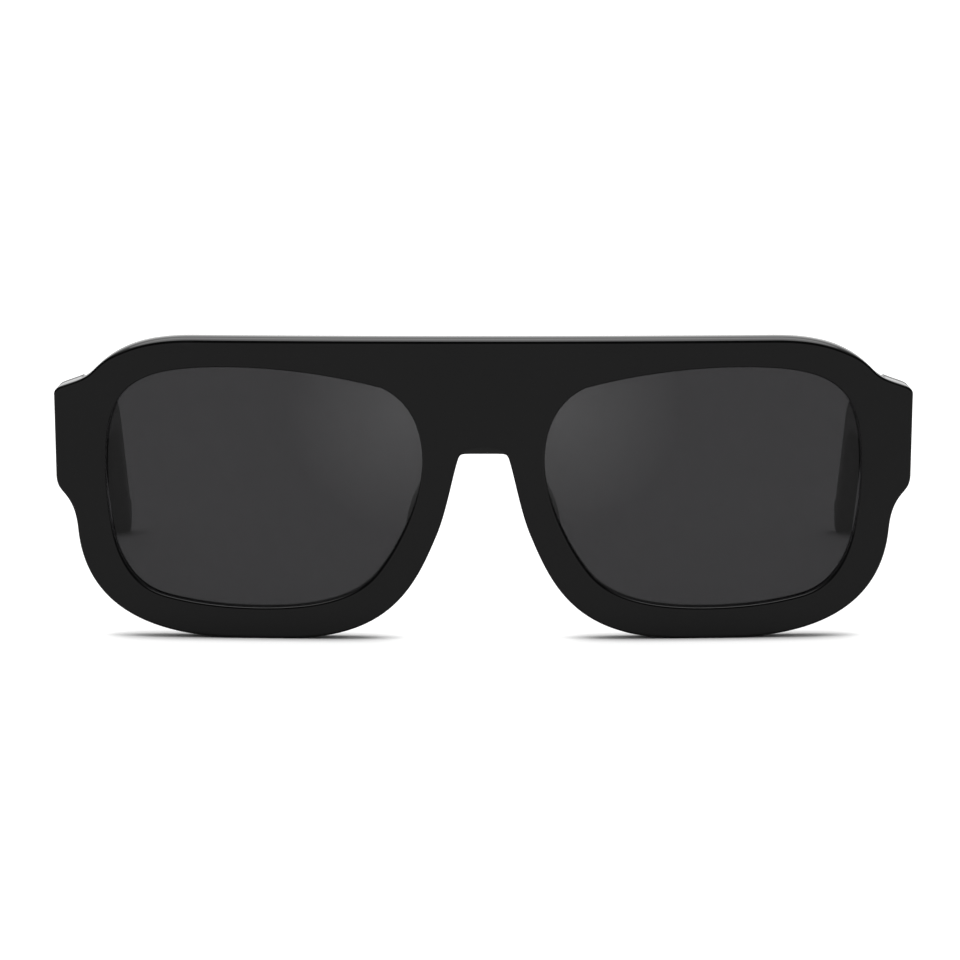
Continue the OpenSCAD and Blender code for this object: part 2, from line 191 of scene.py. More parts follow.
class FinishColours(PropertyGroup):
    acetate: tint("Acetate", "Colour of the black sheet", (0.0028, 0.0028, 0.0029))
    acetate_gloss: share("Acetate Gloss", "Strength of its straight reflection", 0.5)
    acetate_rough: share("Acetate Roughness", "Roughness of its polish", 0.05)
    smoke: tint("Smoke", "Colour that a lens gives to light", (0.0243, 0.0240, 0.0252))
    # The strongest coat of a lens by the bridge is a painted reflection: the lens mirrors more there.
    bloom: share("Lens Bloom", "Strongest coat of a lens, near the bridge", 1.0)
    steel: tint("Hinge Steel", "Colour of the hinges", (0.58, 0.58, 0.57))
    screw: tint("Screw Steel", "Colour of the screws", (0.66, 0.65, 0.63))
    wire: tint("Wire", "Colour of the core wires", (0.50, 0.51, 0.52))


class StageSettings(PropertyGroup):
    elevation: angle("Elevation", "Angle at which the camera looks down", 6.5)
    distance: length("Distance", "Distance from the camera to the front", 900)
    focal: number("Focal Length", "Focal length in millimetres", 196.4, min=20)
    aim_x: length("Aim Across", "Where the camera looks, across", -0.6)
    aim_z: length("Aim Height", "Where the camera looks, above the table", 27.4)
    ambient: number("Ambient", "Strength of the world's soft light", 0.6, min=0)
    key: number("Overhead Lamp", "Strength of the overhead lamp", 1.35, min=0)
    key_angle: angle("Lamp Width", "Angle that the lamp fills", 60)
    key_lean: angle("Lamp Lean", "How far the lamp stands behind the object", 12)
    floor_glow: share("Floor Glow", "What the floor adds to its own white", 0.55)
    contact: length("Contact Shadow", "Distance over which that glow fades", 6)
    floor_shine: share("Floor Shine", "Share of its white that polish mirrors", 0.253)
    room: tint("Dark Room", "What polish mirrors of the room", (0.02, 0.02, 0.02))
    skirt: tint("Room Skirt", "What polish mirrors of the room's foot", (0.34, 0.34, 0.34))


SIZE_GROUPS = {
    "sunglasses_front": FrontSizes,
    "sunglasses_lens": LensSizes,
    "sunglasses_pad": PadSizes,
    "sunglasses_temple": TempleSizes,
    "sunglasses_hinge": HingeSizes,
    "sunglasses_wire": WireSizes,
}
ALL_GROUPS = {
    **SIZE_GROUPS,
    "sunglasses_finish": FinishColours,
    "sunglasses_stage": StageSettings,
}


def measured(scene):
    """All sizes in millimetres, and those that follow from them as in the part's source."""
    s = SimpleNamespace()
    for attribute, group in SIZE_GROUPS.items():
        settings = getattr(scene, attribute)
        for name in group.__annotations__:
            value = getattr(settings, name)
            setattr(s, name, value if isinstance(value, int) else value / MM)
    s.lens_in = s.bridge_w / 2
    s.lens_out = s.lens_in + s.lens_w
    s.lens_mid = (s.lens_in + s.lens_out) / 2
    s.lens_top = s.rim_low + s.lens_h
    s.front_top = s.lens_top + s.brow_h
    s.half_w = s.lens_out + s.side_w
    s.end_top = s.hinge_z + s.butt_up + s.end_over
    s.end_low = s.hinge_z - s.butt_down - s.end_under
    s.rim_out = s.lens_out + s.rim_side
    s.hinge_x = s.half_w - s.temple_t - s.axis_in
    s.joint_y = s.wrap_r - math.sqrt(s.wrap_r**2 - s.hinge_x**2) + s.front_t + s.end_out
    s.tip_low = complex(s.tip_u, -s.tip_drop - s.tip_h / 2)
    s.tip_high = complex(s.tip_u, -s.tip_drop + s.tip_h / 2)
    s.tilt = math.asin((s.hinge_z - s.tip_r) / abs(s.tip_low)) + phase(s.tip_low)
    tip_y = s.tip_high.real * math.cos(s.tilt) + s.tip_high.imag * math.sin(s.tilt)
    s.depth = s.joint_y + tip_y + s.tip_r
    s.pitch = s.knuckle_h + s.knuckle_gap
    s.stack = s.knuckle_pieces * s.knuckle_h + (s.knuckle_pieces - 1) * s.knuckle_gap
    return s


# Curves and outlines


def clamped(value):
    return min(1.0, max(0.0, value))


def curve(a, b, c, d, count):
    """Points on a cubic curve from a towards d, without d."""
    points = []
    for i in range(count):
        t = i / count
        u = 1 - t
        points.append(u * u * u * a + 3 * u * u * t * b + 3 * u * t * t * c + t * t * t * d)
    return points


def straight(a, b, count):
    """Points from a towards b, without b."""
    return [a + (b - a) * i / count for i in range(count)]


def joined(runs):
    """Points along runs, each up to the start of the next, without the start of the last.

    A run is a count and its start, and a curved one has two handles as well.
    """
    points = []
    for (count, *hold), after in zip(runs, runs[1:]):
        make = curve if len(hold) == 3 else straight
        points += make(*hold, after[1], count)
    return points


def normals(points, closed=True):
    """Unit normals to the left of the way that the points run."""
    last = len(points) - 1
    result = []
    for i in range(len(points)):
        before = points[i] - points[i - 1] if closed or i > 0 else 0
        after = points[(i + 1) % len(points)] - points[i] if closed or i < last else 0
        way = sum(step / abs(step) for step in (before, after) if abs(step) > 1e-9)
        result.append(1j * way / abs(way))
    return result


def corner(a, b, c, radius, count):
    """A round corner at b between the lines from a and to c."""
    u = (a - b) / abs(a - b)
    v = (c - b) / abs(c - b)
    half = math.acos((u * v.conjugate()).real) / 2
    centre = b + (u + v) / abs(u + v) * radius / math.sin(half)
    start = b + u * radius / math.tan(half) - centre
    turn = math.copysign(math.pi - 2 * half, (start.conjugate() * v).imag)
    return [centre + start * rect(1, turn * i / count) for i in range(count + 1)]


def touch(point, centre, radius, side):
    """Where a line from a point touches a circle, above it or below it."""
    arm = centre - point
    reach = math.sqrt(abs(arm) ** 2 - radius**2)
    return point + rect(reach, phase(arm) + side * math.asin(radius / abs(arm)))


def lens_opening(s, count):
    """The lens opening, clockwise from its inner side, in shares of its width and height."""
    shares = (
        ((0, 0.61), (0, 0.755), (0.042, 0.862)),
        ((0.126, 0.916), (0.283, 0.97), (0.449, 1)),
        ((0.616, 1), (0.911, 1), (1, 0.921)),
        ((1, 0.6), (1, 0.285), (0.945, 0.091)),
        ((0.81, 0.046), (0.717, 0.014), (0.616, 0)),
        ((0.505, 0), (0.338, 0), (0.214, 0.036)),
        ((0.146, 0.141), (0.072, 0.257), (0, 0.465)),
    )
    runs = []
    for piece in shares:
        hold = [complex(s.lens_in + x * s.lens_w, s.rim_low + z * s.lens_h) for x, z in piece]
        runs.append((count, *hold))
    return joined(runs + runs[:1])


def half_outline(s):
    """The front's left half, from the top of the bridge to its underside, and its side notch."""
    p = complex
    over, low, wide, arch = s.end_top, s.end_low, s.half_w, s.arch_z
    inn, out = s.lens_in, s.lens_out
    notch = p(wide - 1.6, low - 0.7)
    end = p(0, arch)
    points = joined((
        (24, p(0, s.front_top)),
        (22, p(out - 15.1, s.front_top), p(out - 6.1, s.front_top), p(out - 1.6, over + 6.45)),
        (16, p(out + 2.1, over + 2.65), p(out + 3.5, over + 1.2), p(wide - 3.6, over + 0.8)),
        (8, p(wide - 1.4, over), p(wide - 0.5, over - 0.3), p(wide, over - 0.8)),
        (9, p(wide, over - 1.4)),
        (8, p(wide - 0.3, low + 2.2), p(wide - 0.4, low + 0.8), p(wide - 0.8, low + 0.2)),
        (14, notch, p(wide - 3.1, low - 2.4), p(s.rim_out + 0.3, low - 4.1)),
        (28, p(s.rim_out, low - 6.8), p(s.rim_out - 1, 0.3 * low), p(out - 3.9, 0)),
        (4, p(s.lens_mid + s.rest_l / 2, 0)),
        (28, p(s.lens_mid - s.rest_l / 2, 0), p(inn + 6.5, 0), p(inn + 1.7, 0.25 * arch)),
        (18, p(inn - 2.15, 0.54 * arch), p(inn - 4.05, 0.67 * arch), p(inn - 4.95, 0.85 * arch)),
        (8, p(inn - 6.1, arch - 1), p(inn - 6.4, arch - 0.1), p(inn - 6.6, arch)),
        (4, p(inn - 7.6, arch)),
        (0, end),
    ))
    return [*points, end], notch


def temple_edges(s, count):
    """The temple's upper and lower edge in pairs, from the butt to the end of the tip."""
    tighter = 0.6
    flat_steps = 4
    edges = []
    for side, butt, tip, bend_r in (
        (1, s.butt_up, s.tip_high, s.bend_r),
        (-1, -s.butt_down, s.tip_low, s.bend_r * tighter),
    ):
        start = complex(s.joint_gap, butt)
        knee = complex(s.bend_u + side * s.bend_lean / 2, s.bend_v + side * s.neck_h / 2)
        end = touch(knee, tip, s.tip_r, side)
        bend = corner(start, knee, end, bend_r, count)
        edge = straight(start, bend[0], 2 * count) + bend + straight(bend[-1], end, count)[1:]
        turn = phase(end - tip)
        edge += [tip + rect(s.tip_r, turn * (1 - i / count)) for i in range(count + 1)]
        for i in range(1, flat_steps + 1):
            edge.append(tip + s.tip_r - side * 0.5j * s.tip_h * i / flat_steps)
        edges.append(edge)
    return edges


def layered(s, point, deep, more=0.0):
    """A point of a wrapped layer that lies deep behind the front's face, moved a little back."""
    y = s.wrap_r - math.sqrt((s.wrap_r - deep) ** 2 - point.real * point.real)
    return point.real, y + more, point.imag


def placed(s, point, side):
    """A point of the front's own frame in metres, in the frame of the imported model."""
    x, y, z = point
    return Vector((side * x, y - s.depth / 2, z)) * MM


def hinged(s, point, side):
    """A point of the hinge's own frame in metres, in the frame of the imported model."""
    x, u, v = point
    y = s.joint_y + u * math.cos(s.tilt) + v * math.sin(s.tilt)
    z = s.hinge_z - u * math.sin(s.tilt) + v * math.cos(s.tilt)
    return placed(s, (s.hinge_x + x, y, z), side)


# Mesh helpers


# The angle in degrees from which an edge between two faces stays sharp.
SHARP = 38


def link(obj):
    bpy.context.scene.collection.objects.link(obj)
    return obj


def finished(name, bm, material, sharp=SHARP):
    """A closed mesh object with outward faces and smooth curves."""
    bmesh.ops.remove_doubles(bm, verts=bm.verts, dist=2e-6)
    bmesh.ops.dissolve_degenerate(bm, edges=bm.edges, dist=1e-7)
    loose = [v for v in bm.verts if not v.link_faces]
    bmesh.ops.delete(bm, geom=loose, context="VERTS")
    bmesh.ops.recalc_face_normals(bm, faces=bm.faces)
    for face in bm.faces:
        face.smooth = True
    mesh = bpy.data.meshes.new(name)
    bm.to_mesh(mesh)
    bm.free()
    mesh.set_sharp_from_angle(angle=math.radians(sharp))
    mesh.materials.append(material)
    return link(bpy.data.objects.new(name, mesh))


def ring_sheet(bm, rings, along=True, around=True, skip=None):
    """Quads between neighbouring rings, joined end to end along and around where asked."""
    verts = [[bm.verts.new(p) for p in ring] for ring in rings]
    count = len(rings[0])
    for i in range(len(rings) if along else len(rings) - 1):
        a = verts[i]
        b = verts[(i + 1) % len(rings)]
        for k in range(count if around else count - 1):
            m = (k + 1) % count
            face = (a[k], a[m], b[m], b[k])
            if skip is None or not skip(face):
                bm.faces.new(face)
    return verts


def ringed(name, rings, material, sharp=SHARP, **joins):
    """A closed piece from its rings."""
    bm = bmesh.new()
    ring_sheet(bm, rings, **joins)
    return finished(name, bm, material, sharp)


def box_points(low, high):
    xs, ys, zs = zip(low, high)
    return [(x, y, z) for x in xs for y in ys for z in zs]


def cut_out(obj, boxes):
    """The object with boxes taken out of it, each given as eight points."""
    bm = bmesh.new()
    for points in boxes:
        bmesh.ops.convex_hull(bm, input=[bm.verts.new(p) for p in points])
    mesh = bpy.data.meshes.new("cutter")
    bm.to_mesh(mesh)
    bm.free()
    cutter = link(bpy.data.objects.new("cutter", mesh))
    modifier = obj.modifiers.new("Recess", "BOOLEAN")
    modifier.operation = "DIFFERENCE"
    modifier.solver = "EXACT"
    modifier.object = cutter
    graph = bpy.context.evaluated_depsgraph_get()
    shaped = bpy.data.meshes.new_from_object(obj.evaluated_get(graph))
    obj.modifiers.remove(modifier)
    obj.data = shaped
    shaped.set_sharp_from_angle(angle=math.radians(SHARP))
    bpy.data.objects.remove(cutter)


def carried(piece, body, node):
    """Tells the frame what a piece rides on, and hides the part that it stands for."""
    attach(piece, body)
    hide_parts(node)


# Node helpers


FLOAT = "NodeSocketFloat"
VECTOR = "NodeSocketVector"
SHAPE = "NodeSocketGeometry"
SOCKETS = {float: FLOAT, int: "NodeSocketInt", tuple: VECTOR}
SURFACE = {"Roughness": FLOAT, "Height": FLOAT}


class Builder:
    """Adds nodes to a tree and joins them as they are made."""

    def __init__(self, tree):
        self.tree = tree

    def feed(self, node, inputs):
        for key, value in inputs.items():
            socket = node.inputs[key]
            if isinstance(value, bpy.types.NodeSocket):
                self.tree.links.new(value, socket)
            else:
                socket.default_value = value

    def add(self, kind, inputs=None, **settings):
        node = self.tree.nodes.new(kind)
        for name, value in settings.items():
            setattr(node, name, value)
        self.feed(node, inputs or {})
        return node

    def out(self, kind, inputs=None, **settings):
        """The first output of a new node."""
        return self.add(kind, inputs, **settings).outputs[0]

    def group(self, tree, inputs):
        """The outputs of a node group that is placed with its own values."""
        return self.add("ShaderNodeGroup", inputs, node_tree=tree).outputs

    def math(self, operation, *values):
        return self.out("ShaderNodeMath", dict(enumerate(values)), operation=operation)

    def ramp(self, value, start, end, low=0.0, high=1.0):
        return self.out("ShaderNodeMapRange", {0: value, 1: start, 2: end, 3: low, 4: high})

    def noise(self, where, scale, detail):
        inputs = {"Vector": where, "Scale": scale, "Detail": detail}
        return self.out("ShaderNodeTexNoise", inputs)

    def mixed(self, factor, a, b):
        """One colour turning into another as a mask rises."""
        return self.add("ShaderNodeMix", {0: factor, 6: a, 7: b}, data_type="RGBA").outputs[2]

    def clouded(self, where, scale, detail, colour, dark, light):
        """A colour that drifts between two shades of itself."""
        drift = self.noise(where, scale, detail)
        return self.mixed(drift, shade(colour, dark), shade(colour, light))

    def bump(self, height, strength, distance):
        inputs = {"Height": height, "Strength": strength, "Distance": distance}
        return self.out("ShaderNodeBump", inputs)


def node_group(name, kind, inputs, outputs):
    """A node group, a builder for its inside, the sockets of its inputs, and its output node.

    Each socket is given its default, or the name of its type where it has none.
    """
    tree = bpy.data.node_groups.new(name, kind)
    for direction, rows in (("INPUT", inputs), ("OUTPUT", outputs)):
        for socket, value in rows.items():
            bare = isinstance(value, str)
            item = tree.interface.new_socket(
                name=socket, in_out=direction, socket_type=value if bare else SOCKETS[type(value)]
            )
            if not bare:
                item.default_value = value
    build = Builder(tree)
    return tree, build, build.add("NodeGroupInput").outputs, build.add("NodeGroupOutput")


def made_once(store, name):
    """Gives the data block of this name, which is made at the first call only."""

    def wrap(make):
        def find():
            return getattr(bpy.data, store).get(name) or make(name)

        return find

    return wrap


@made_once("node_groups", "Polish")
def polish_group(name):
    """Roughness and height of a hand-polished surface: soft smudges, waves and hairlines."""
    inputs = {"Vector": VECTOR, "Roughness": 0.06, "Smudge": 0.04, "Hairline": 0.02, "Wave Scale": 90.0}
    tree, build, given, leave = node_group(name, "ShaderNodeTree", inputs, SURFACE)
    where = given["Vector"]
    smudge = build.math("MULTIPLY", build.noise(where, 160.0, 4.0), given["Smudge"])
    rough = build.math("ADD", given["Roughness"], smudge)
    stretch = build.out(
        "ShaderNodeMapping", {"Vector": where, "Rotation": (0.4, 0.7, 0.3), "Scale": (1, 30, 6)}
    )
    line = build.ramp(build.noise(stretch, 420.0, 2.0), 0.68, 0.74)
    scratched = build.math("MULTIPLY", line, given["Hairline"])
    wave = build.noise(where, given["Wave Scale"], 1.0)
    build.feed(leave, {"Roughness": build.math("ADD", rough, scratched), "Height": wave})
    return tree


@made_once("node_groups", "Edge Wear")
def wear_group(name):
    """A mask of the ridges that a cloth and a case rub first."""
    inputs = {"Vector": VECTOR, "Start": 0.52, "Full": 0.60, "Patch Scale": 300.0}
    tree, build, given, leave = node_group(name, "ShaderNodeTree", inputs, {"Mask": FLOAT})
    ridge = build.add("ShaderNodeNewGeometry").outputs["Pointiness"]
    bare = build.ramp(ridge, given["Start"], given["Full"])
    patch = build.noise(given["Vector"], given["Patch Scale"], 3.0)
    build.feed(leave, {"Mask": build.math("MULTIPLY", bare, patch)})
    return tree


@made_once("node_groups", "Brushing")
def brush_group(name):
    """Fine parallel lines left by a brush or a drawing die, along one axis."""
    stretch = (1.0, 0.04, 1.0)
    inputs = {"Vector": VECTOR, "Stretch": stretch, "Scale": 9000.0, "Low": 0.2, "High": 0.38}
    tree, build, given, leave = node_group(name, "ShaderNodeTree", inputs, SURFACE)
    drawn = build.out("ShaderNodeMapping", {"Vector": given["Vector"], "Scale": given["Stretch"]})
    lines = build.noise(drawn, given["Scale"], 3.0)
    rough = build.ramp(lines, 0.3, 0.7, given["Low"], given["High"])
    build.feed(leave, {"Roughness": rough, "Height": lines})
    return tree


def new_material(name):
    """A node material with its shader, its output and the object's own coordinates."""
    material = bpy.data.materials.new(name)
    material.use_nodes = True
    material.node_tree.nodes.clear()
    build = Builder(material.node_tree)
    shader = build.add("ShaderNodeBsdfPrincipled")
    build.add("ShaderNodeOutputMaterial", {"Surface": shader.outputs[0]})
    where = build.add("ShaderNodeTexCoord").outputs["Object"]
    return material, build, shader, where


def shade(colour, amount):
    return (*(min(1.0, c * amount) for c in colour), 1.0)


@made_once("materials", "Polished Acetate")
def acetate(name):
    """Black cellulose acetate, polished, a touch softer and greyer along its edges."""
    finish = bpy.context.scene.sunglasses_finish
    material, build, shader, where = new_material(name)
    polish = build.group(
        polish_group(),
        {"Vector": where, "Roughness": finish.acetate_rough, "Smudge": 0.04, "Hairline": 0.03},
    )
    wear = build.group(wear_group(), {"Vector": where, "Start": 0.53, "Full": 0.66})["Mask"]
    body = build.clouded(where, 60.0, 3.0, finish.acetate, 0.7, 1.3)
    rubbed = build.math("MULTIPLY", wear, 0.35)
    build.feed(shader, {
        "Base Color": build.mixed(rubbed, body, shade(finish.acetate, 6.0)),
        "Roughness": build.math("MULTIPLY_ADD", wear, 0.06, polish["Roughness"]),
        "Normal": build.bump(polish["Height"], 0.06, 0.0004),
        "IOR": 1.49,
        "Specular IOR Level": finish.acetate_gloss,
    })
    return material


@made_once("materials", "Pad Plastic")
def pad_plastic(name):
    """The black plastic of the glued pads, a little duller than the polished front."""
    finish = bpy.context.scene.sunglasses_finish
    material, build, shader, where = new_material(name)
    polish = build.group(
        polish_group(),
        {"Vector": where, "Roughness": 0.2, "Smudge": 0.14, "Hairline": 0.05, "Wave Scale": 240.0},
    )
    wear = build.group(wear_group(), {"Vector": where})["Mask"]
    body = build.clouded(where, 400.0, 4.0, finish.acetate, 1.5, 3.0)
    build.feed(shader, {
        "Base Color": build.mixed(wear, body, shade(finish.acetate, 8.0)),
        "Roughness": polish["Roughness"],
        "Normal": build.bump(polish["Height"], 0.12, 0.0003),
        "Specular IOR Level": 0.35,
    })
    return material


@made_once("materials", "Smoke Lens")
def smoke_glass(name):
    """Grey lens plastic: light is tinted at each face, and a coat, a painted reflection, makes it
    mirror more by the bridge.
    """
    s = measured(bpy.context.scene)
    finish = bpy.context.scene.sunglasses_finish
    material, build, shader, where = new_material(name)
    polish = build.group(
        polish_group(),
        {"Vector": where, "Roughness": 0.0, "Smudge": 0.015, "Hairline": 0.0, "Wave Scale": 40.0},
    )
    # The coat, a painted reflection, fades with the distance from the lens's upper corner by the
    # bridge.
    parts = build.add("ShaderNodeSeparateXYZ", {0: where}).outputs
    aside = build.math("SUBTRACT", build.math("ABSOLUTE", parts["X"]), (s.lens_in + 2.5) * MM)
    above = build.math("SUBTRACT", parts["Z"], (s.lens_top - 7) * MM)
    flat = build.out("ShaderNodeCombineXYZ", {"X": aside, "Z": above})
    away = build.add("ShaderNodeVectorMath", {0: flat}, operation="LENGTH").outputs["Value"]
    build.feed(shader, {
        "Base Color": build.clouded(where, 25.0, 1.0, finish.smoke, 0.98, 1.02),
        "Roughness": polish["Roughness"],
        "Normal": build.bump(polish["Height"], 0.02, 0.0002),
        "Coat Weight": build.ramp(away, 0.002, 0.021, finish.bloom, 0.0),
        "Coat IOR": 1.87,
        "Transmission Weight": 1.0,
        "IOR": 1.5,
    })
    return material


# For each metal its material, the stretch and range of its brushing, and the brightness of wear.
METALS = {
    "steel": ("Hinge Steel", (1.0, 0.05, 1.0), 0.22, 0.40, 1.35),
    "screw": ("Screw Steel", (1.0, 1.0, 0.05), 0.14, 0.28, 1.3),
    "wire": ("Core Wire Steel", (1.0, 0.03, 1.0), 0.28, 0.46, 1.2),
}


def metal(kind):
    """Brushed or turned metal with brighter rubbed edges."""
    name, stretch, low, high, wear_to = METALS[kind]
    known = bpy.data.materials.get(name)
    if known:
        return known
    colour = getattr(bpy.context.scene.sunglasses_finish, kind)
    material, build, shader, where = new_material(name)
    brush = build.group(
        brush_group(), {"Vector": where, "Stretch": stretch, "Low": low, "High": high}
    )
    wear = build.group(wear_group(), {"Vector": where, "Patch Scale": 2500.0})["Mask"]
    body = build.clouded(where, 900.0, 5.0, colour, 0.82, 1.1)
    build.feed(shader, {
        "Base Color": build.mixed(wear, body, shade(colour, wear_to)),
        "Roughness": brush["Roughness"],
        "Normal": build.bump(brush["Height"], 0.15, 0.00005),
        "Metallic": 1.0,
    })
    return material


# The front


# Steps round a quarter edge, and across a flat face.
ROUND = 5
FACE_STEPS = 7
# In millimetres: half a close pair of points, the room beside an edge that a face's first point
# keeps, and the gap between a hinge's plate and its recess.
SPLIT = 0.02
HOLD = 0.12
PLATE_GAP = 0.02


def rounding():
    """A quarter round as shares of its radius: how far in, and how far below the face."""
    steps = [math.pi / 2 * i / ROUND for i in range(ROUND + 1)]
    return [(1 - math.cos(a), 1 - math.sin(a)) for a in steps]


def face_run(a, b):
    """Points across a flat face, with one close to each of its edges."""
    wide = abs(b - a)
    hold = min(HOLD / wide, 0.3) if wide > 1e-6 else 0.3
    return [a + (b - a) * (hold + (1 - 2 * hold) * i / FACE_STEPS) for i in range(FACE_STEPS + 1)]


def front_edge(s, brow, facet):
    """The front's outer edge in millimetres: a quarter round that turns into a flat facet."""
    flat = (0, 0.06, 0.35, 0.65, 0.94, 1)
    wide = (s.edge_r + (s.brow_in - s.edge_r) * brow) * (1 - facet)
    deep = (s.edge_r + (s.brow_deep - s.edge_r) * brow) * (1 - facet)
    return [
        (wide * inset + s.facet_h * part * facet, deep * drop + s.facet_d * (1 - part) * facet)
        for (inset, drop), part in zip(rounding(), flat)
    ]


def split_path(s):
    """The half outline with a pair of close points where the endpiece's block starts and ends."""
    path, notch = half_outline(s)
    wall_x = s.hinge_x + s.axis_in - s.plate_proud
    points = []
    inside = False
    done = False
    for i, point in enumerate(path):
        points.append((point, inside))
        after = path[min(i + 1, len(path) - 1)]
        if not inside and not done and point.real < wall_x <= after.real:
            way = (after - point) / abs(after - point)
            cut = point + (after - point) * (wall_x - point.real) / (after.real - point.real)
            points += [(cut - SPLIT * way, False), (cut + SPLIT * way, True)]
            inside = True
        elif inside and point == notch:
            way = (after - point) / abs(after - point)
            points.append((point + SPLIT * way, False))
            inside = False
            done = True
    return points, wall_x


def opening_lookup(s, centre, reference):
    """Finds the opening's point and normal at an angle, turned clockwise from a reference."""
    points = lens_opening(s, 64)
    sides = normals(points)
    full = 2 * math.pi
    turns = [(reference - phase(p - centre)) % full for p in points]
    first = turns.index(min(turns))
    order = [*range(first, len(points)), *range(first)]
    table = [(turns[i], points[i], sides[i]) for i in order]
    table = [(table[-1][0] - full, *table[-1][1:]), *table, (table[0][0] + full, *table[0][1:])]
    keys = [row[0] for row in table]

    def find(turn):
        i = max(1, min(bisect(keys, turn), len(table) - 1))
        t = (turn - keys[i - 1]) / (keys[i] - keys[i - 1])
        point, side = (a + (b - a) * t for a, b in zip(table[i - 1][1:], table[i][1:]))
        return point, side / abs(side)

    return find


def front_columns(s):
    """Columns across the rim: from a point of the outline, or of the middle line, to the opening."""
    path, wall_x = split_path(s)
    sides = normals([point for point, _ in path], closed=False)
    sides[0] = 1j
    sides[-1] = -1j
    columns = []

    def column(point, side, edge, back_r, block=False):
        columns.append(SimpleNamespace(out=point, side=side, edge=edge, back_r=back_r, block=block))

    for (point, block), side in zip(path, sides):
        # Under the bridge the front edge turns into a facet and the back edge into a saddle.
        under = point.imag > s.arch_z - 1.6 and point.real < s.lens_in and side.imag < 0.3
        bow = max(0.0, 1 - (point.real / (s.lens_in - 5.0)) ** 2) if under else 0.0
        facet = clamped((s.lens_in - 6.1 - point.real) / 2.2) if under else 0.0
        # The brow's wide edge starts above the endpiece, where the outline faces up.
        raised = clamped((point.imag - s.end_top - 3) / 3)
        brow = raised * clamped((side.imag - 0.75) / 0.25)
        back_r = s.butt_r if block else s.back_r + s.saddle * bow
        column(point, side, front_edge(s, brow, facet), back_r, block)
    clear = 0.4
    middle_steps = 8
    low = s.arch_z + max(columns[-1].back_r, s.facet_h) + clear
    high = s.front_top - s.back_r - clear
    for i in range(middle_steps + 1):
        point = complex(0, low + (high - low) * i / middle_steps)
        column(point, 0, front_edge(s, 1, 0), s.back_r)

    # Columns keep their angle round the lens, evened out a little by the way they have gone.
    centre = complex(s.lens_mid, s.arch_z + 2.5)
    reference = phase(columns[0].out - centre)
    find = opening_lookup(s, centre, reference)
    steps = [abs(b.out - a.out) for a, b in zip(columns, columns[1:] + columns[:1])]
    total = sum(steps)
    full = 2 * math.pi
    even = 0.04
    gone = 0.0
    turned = 0.0
    for c, step in zip(columns, steps):
        turn = (reference - phase(c.out - centre)) % full
        if turn < 6.0 or gone > total / 2:
            turned = max(turned, turn)
        c.inn, c.inn_side = find((1 - even) * turned + even * full * gone / total)
        gone += step
    return columns, wall_x


def front_profile(s, c, wall_x):
    """One closed section of the rim, from the opening's front edge round to its groove."""
    profile = []

    def inner(share_in):
        return c.inn + c.inn_side * s.rim_r * share_in

    def outer(radius, share_in=1):
        return c.out - c.side * radius * share_in

    def put(point, deep, more=0.0):
        profile.append(layered(s, point, deep, more))

    def put_rear(point, less=0.0):
        if c.block:
            y = s.joint_y + (point.imag - s.hinge_z) * math.tan(s.tilt)
            profile.append((point.real, y - less, point.imag))
        else:
            put(point, s.front_t, -less)

    for inset, drop in rounding():
        put(inner(inset), 0, s.rim_r * drop)
    for point in face_run(inner(1), outer(c.edge[-1][0])):
        put(point, 0)
    for inset, drop in reversed(c.edge):
        put(outer(inset), 0, drop)
    for inset, drop in rounding():
        put_rear(outer(c.back_r, inset), c.back_r * drop)
    start = outer(c.back_r)
    end = inner(1)
    way = (end - start) / abs(end - start)
    reach = max(0.0, (start.real - wall_x) / (start.real - end.real)) if c.block else 0.3
    wall = start + (end - start) * reach
    for i in (1, 2):
        put_rear(start + (wall - start) * i / 3)
    soft = min(0.25, abs(wall - start))
    foot = 0.5
    for inset, drop in reversed(rounding()):
        put_rear(wall - way * soft * inset, soft * drop if c.block else 0)
    for inset, drop in rounding():
        put(wall + way * foot * inset, s.front_t, foot * drop if c.block else 0)
    for point in face_run(wall + way * foot, end):
        put(point, s.front_t)
    for inset, drop in reversed(rounding()):
        put(inner(inset), s.front_t, -s.rim_r * drop)
    groove = c.inn + c.inn_side * (s.groove_d + s.lens_gap)
    behind = s.lens_set + s.lens_t + s.lens_gap
    before = s.lens_set - s.lens_gap
    for point, deep in ((c.inn, behind), (groove, behind), (groove, before), (c.inn, before)):
        put(point, deep)
    return profile


def on_middle(face):
    return all(abs(v.co.x) < 1e-7 for v in face)


class SUNGLASSES_OT_front(Operator):
    """Builds the wrapped front with its rims, grooves, saddle bridge and endpieces"""

    bl_idname = "sunglasses.front"
    bl_label = "Build Front"

    def execute(self, context):
        s = measured(context.scene)
        columns, wall_x = front_columns(s)
        profiles = [front_profile(s, c, wall_x) for c in columns]
        bm = bmesh.new()
        for side in SIDES.values():
            rings = [[placed(s, p, side) for p in profile] for profile in profiles]
            ring_sheet(bm, rings, skip=on_middle)
        front = finished("front", bm, acetate())
        half = s.plate_h / 2 + PLATE_GAP
        recess = box_points(
            (-s.foot_in - PLATE_GAP, -s.foot_y - s.foot_t - PLATE_GAP, -half),
            (s.foot_out + PLATE_GAP, 0, half),
        )
        cut_out(front, [[hinged(s, p, side) for p in recess] for side in SIDES.values()])
        carried(front, "front", "front_frame")
        return {"FINISHED"}


